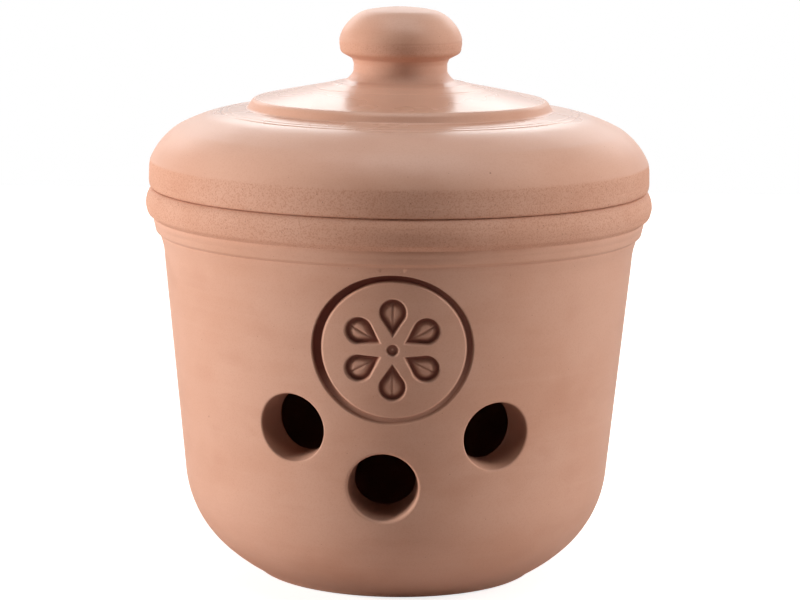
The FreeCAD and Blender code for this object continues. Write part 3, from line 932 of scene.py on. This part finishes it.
def make_floor():
    """A plain pale floor just under the base, white to the camera where no shadow falls."""
    half, low = 0.8, -0.0002
    mesh = bpy.data.meshes.new("studio_floor")
    corners = [(-half, -half, low), (half, -half, low), (half, half, low), (-half, half, low)]
    mesh.from_pydata(corners, [], [(0, 1, 2, 3)])
    floor = bpy.data.objects.new("studio_floor", mesh)
    bpy.context.scene.collection.objects.link(floor)
    material = bpy.data.materials.new("studio floor")
    material.use_nodes = True
    nodes = Nodes(material.node_tree)
    path = nodes.add("ShaderNodeLightPath").outputs
    seen = nodes.maths("MAXIMUM", path["Is Camera Ray"], path["Is Transmission Ray"])
    pale = nodes.add("ShaderNodeBsdfDiffuse", {"Color": (0.68, 0.60, 0.56, 1.0)})
    glow = nodes.maths("MULTIPLY", seen, 0.8)
    white = nodes.add("ShaderNodeEmission", {"Color": (1, 1, 1, 1), "Strength": glow})
    both = nodes.add("ShaderNodeAddShader", {0: pale.outputs[0], 1: white.outputs[0]})
    nodes.add("ShaderNodeOutputMaterial", {"Surface": both.outputs[0]})
    mesh.materials.append(material)


def make_world(ambient):
    """White to the camera, a white backdrop in reflections, and a faint even light.

    The backdrop is behind the keeper, and fades out towards the front.
    """
    world = bpy.data.worlds.new("studio")
    bpy.context.scene.world = world
    world.use_nodes = True
    nodes = Nodes(world.node_tree)
    path = nodes.add("ShaderNodeLightPath").outputs
    way = nodes.add("ShaderNodeTexCoord").outputs["Generated"]
    backwards = nodes.add("ShaderNodeSeparateXYZ", {0: way}).outputs["Y"]
    mirrored = nodes.maths("MAXIMUM", path["Is Glossy Ray"], path["Is Transmission Ray"])
    mirrored = nodes.maths("MULTIPLY", mirrored, nodes.ramp(backwards, -0.7, 0.0))
    seen = nodes.maths("MAXIMUM", path["Is Camera Ray"], mirrored)
    inputs = {"Value": seen, "To Min": ambient, "To Max": 1.0}
    level = nodes.add("ShaderNodeMapRange", inputs).outputs["Result"]
    sky = nodes.add("ShaderNodeBackground", {"Color": (1, 1, 1, 1), "Strength": level})
    nodes.add("ShaderNodeOutputWorld", {"Surface": sky.outputs[0]})


def hang_lamp(name, place, width, height, mirrored, watts):
    """A soft rectangular lamp that faces the keeper. Glossy clay shows it if `mirrored`."""
    lamp = bpy.data.lights.new(name, "AREA")
    lamp.shape, lamp.size, lamp.size_y, lamp.energy = "RECTANGLE", width, height, watts
    holder = bpy.data.objects.new(name, lamp)
    facing = (Vector(LAMPS_FACE) - Vector(place)).to_track_quat("-Z", "Y")
    holder.matrix_world = Matrix.LocRotScale(Vector(place), facing, None)
    bpy.context.scene.collection.objects.link(holder)
    holder.visible_camera = False
    holder.visible_glossy = mirrored


def set_camera():
    """A long lens a little above the keeper's middle, looking slightly down at its front."""
    lens = bpy.data.cameras.new("studio_camera")
    lens.lens, lens.sensor_width = 137.0, 36.0
    camera = bpy.data.objects.new("studio_camera", lens)
    place, down, roll = (0.0006, -0.8, 0.2028), 9.28, 0.68
    tilt = Matrix.Rotation((90 - down) * DEGREE, 4, "X") @ Matrix.Rotation(roll * DEGREE, 4, "Z")
    camera.matrix_world = Matrix.Translation(place) @ tilt
    bpy.context.scene.collection.objects.link(camera)
    bpy.context.scene.camera = camera


# ---- the add-on ----

class KEEPER_OT_build_jar(bpy.types.Operator):
    """Build the jar with its vents and medallion"""

    bl_idname = "keeper.build_jar"
    bl_label = "Build the jar"

    def execute(self, context):
        scene = context.scene
        piece = build_jar(scene.keeper_jar, scene.keeper_medallion)
        shift, dullness = (0.31, 0.12, 0.07), 0.43
        clay = make_clay("terracotta of the pot", scene.keeper_clay, shift, dullness)
        piece.data.materials.append(clay)
        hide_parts("jar")
        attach(piece, "jar")
        return {"FINISHED"}


class KEEPER_OT_build_lid(bpy.types.Operator):
    """Build the lid with its knob"""

    bl_idname = "keeper.build_lid"
    bl_label = "Build the lid"

    def execute(self, context):
        scene = context.scene
        piece = build_lid(scene.keeper_lid, scene.keeper_jar)
        shift, dullness = (0.83, 0.47, 0.29), 0.42
        clay = make_clay("terracotta of the lid", scene.keeper_clay, shift, dullness)
        piece.data.materials.append(clay)
        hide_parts("lid")
        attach(piece, "lid")
        return {"FINISHED"}


class KEEPER_OT_build_studio(bpy.types.Operator):
    """Build the floor, the lamps and the camera"""

    bl_idname = "keeper.build_studio"
    bl_label = "Build the studio"

    def execute(self, context):
        studio = context.scene.keeper_studio
        context.scene.view_settings.view_transform = "Standard"
        make_floor()
        make_world(studio.ambient)
        for name, *lamp in LAMPS:
            hang_lamp(f"{name} lamp", *lamp, getattr(studio, name))
        set_camera()
        return {"FINISHED"}


class KEEPER_PT_panel(bpy.types.Panel):
    """The keeper's operators, in the sidebar."""

    bl_idname = "KEEPER_PT_panel"
    bl_label = "Garlic keeper"
    bl_space_type = "VIEW_3D"
    bl_region_type = "UI"
    bl_category = "Keeper"

    def draw(self, context):
        for operator in OPERATORS:
            self.layout.operator(operator.bl_idname)


SETTINGS = {
    "keeper_jar": JarShape,
    "keeper_medallion": MedallionShape,
    "keeper_lid": LidShape,
    "keeper_clay": ClayLook,
    "keeper_studio": Studio,
}
OPERATORS = (KEEPER_OT_build_jar, KEEPER_OT_build_lid, KEEPER_OT_build_studio)
CLASSES = (*SETTINGS.values(), *OPERATORS, KEEPER_PT_panel)


def register():
    for item in CLASSES:
        bpy.utils.register_class(item)
    for name, group in SETTINGS.items():
        setattr(bpy.types.Scene, name, PointerProperty(type=group))


def unregister():
    for name in SETTINGS:
        delattr(bpy.types.Scene, name)
    for item in reversed(CLASSES):
        bpy.utils.unregister_class(item)


def main():
    """Build everything in order."""
    register()
    bpy.ops.keeper.build_jar()
    bpy.ops.keeper.build_lid()
    bpy.ops.keeper.build_studio()


if __name__ == "__main__":
    main()
